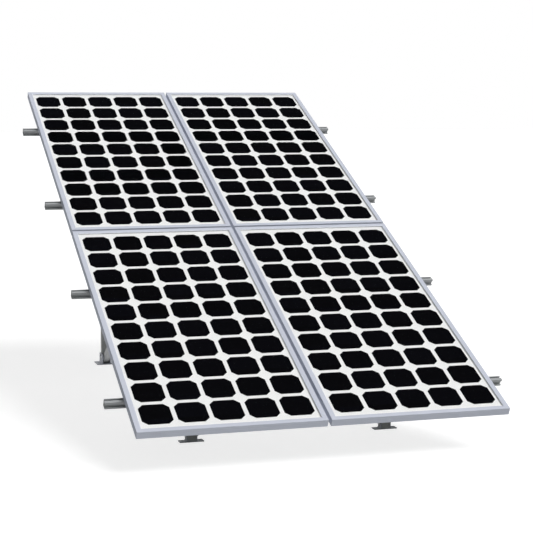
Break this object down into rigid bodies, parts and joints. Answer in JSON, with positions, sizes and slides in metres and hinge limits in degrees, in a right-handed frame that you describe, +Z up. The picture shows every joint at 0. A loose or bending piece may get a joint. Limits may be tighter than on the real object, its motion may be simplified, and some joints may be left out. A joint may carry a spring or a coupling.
{
  "type": "solar panel mounting rack",
  "caption": "Tilted ground rack: rails on sloping rafters over short front legs, tall rear legs and slanting braces, carrying a block of framed solar modules.",
  "frame": {"origin": "centre of the bounding box in plan, on the ground under the base plates", "axes": "+X along the rails to the right seen from the low front edge, +Y back towards the high edge, +Z up"},
  "size_m": [1.877, 3.0518, 1.6089],
  "materials": {
    "module_frame": "satin anodised, clear",
    "front_glass": "clear low-iron glass, smooth",
    "solar_cell": "near-black silicon wafer with a dark coating",
    "backsheet": "white film, matte",
    "junction_box": "black moulded, fine grain",
    "corner_key": "mill finish",
    "cable_gland": "black moulded",
    "rail": "extruded, mill finish",
    "rafter": "extruded, mill finish",
    "leg": "galvanised tube, dull grey",
    "brace": "galvanised tube, lighter grey",
    "foot": "galvanised plate",
    "clamp": "extruded and sawn, mill finish",
    "fastener": "stainless"
  },
  "bodies": {
    "root": {"lower_left_frame_left": "module_frame", "lower_left_frame_right": "module_frame", "lower_left_frame_top": "module_frame", "lower_left_frame_bottom": "module_frame", "lower_left_glass": "front_glass", "lower_left_cells": "solar_cell", "lower_left_backsheet": "backsheet", "lower_left_junction_box": "junction_box", "lower_right_frame_left": "module_frame", "lower_right_frame_right": "module_frame", "lower_right_frame_top": "module_frame", "lower_right_frame_bottom": "module_frame", "lower_right_glass": "front_glass", "lower_right_cells": "solar_cell", "lower_right_backsheet": "backsheet", "lower_right_junction_box": "junction_box", "upper_left_frame_left": "module_frame", "upper_left_frame_right": "module_frame", "upper_left_frame_top": "module_frame", "upper_left_frame_bottom": "module_frame", "upper_left_glass": "front_glass", "upper_left_cells": "solar_cell", "upper_left_backsheet": "backsheet", "upper_left_junction_box": "junction_box", "upper_right_frame_left": "module_frame", "upper_right_frame_right": "module_frame", "upper_right_frame_top": "module_frame", "upper_right_frame_bottom": "module_frame", "upper_right_glass": "front_glass", "upper_right_cells": "solar_cell", "upper_right_backsheet": "backsheet", "upper_right_junction_box": "junction_box", "corner_keys": "corner_key", "junction_box_lids": "junction_box", "cable_glands": "cable_gland", "rail_1": "rail", "rail_2": "rail", "rail_3": "rail", "rail_4": "rail", "rafter_left": "rafter", "front_leg_left": "leg", "rear_leg_left": "leg", "brace_left": "brace", "front_foot_left": "foot", "rear_foot_left": "foot", "rafter_right": "rafter", "front_leg_right": "leg", "rear_leg_right": "leg", "brace_right": "brace", "front_foot_right": "foot", "rear_foot_right": "foot", "rail_clamps": "clamp", "frame_bolts": "fastener", "clamp_bolts": "fastener", "cap_bolts": "fastener", "foot_bolts": "fastener", "brace_spacers": "fastener"}
  },
  "joints": []
}
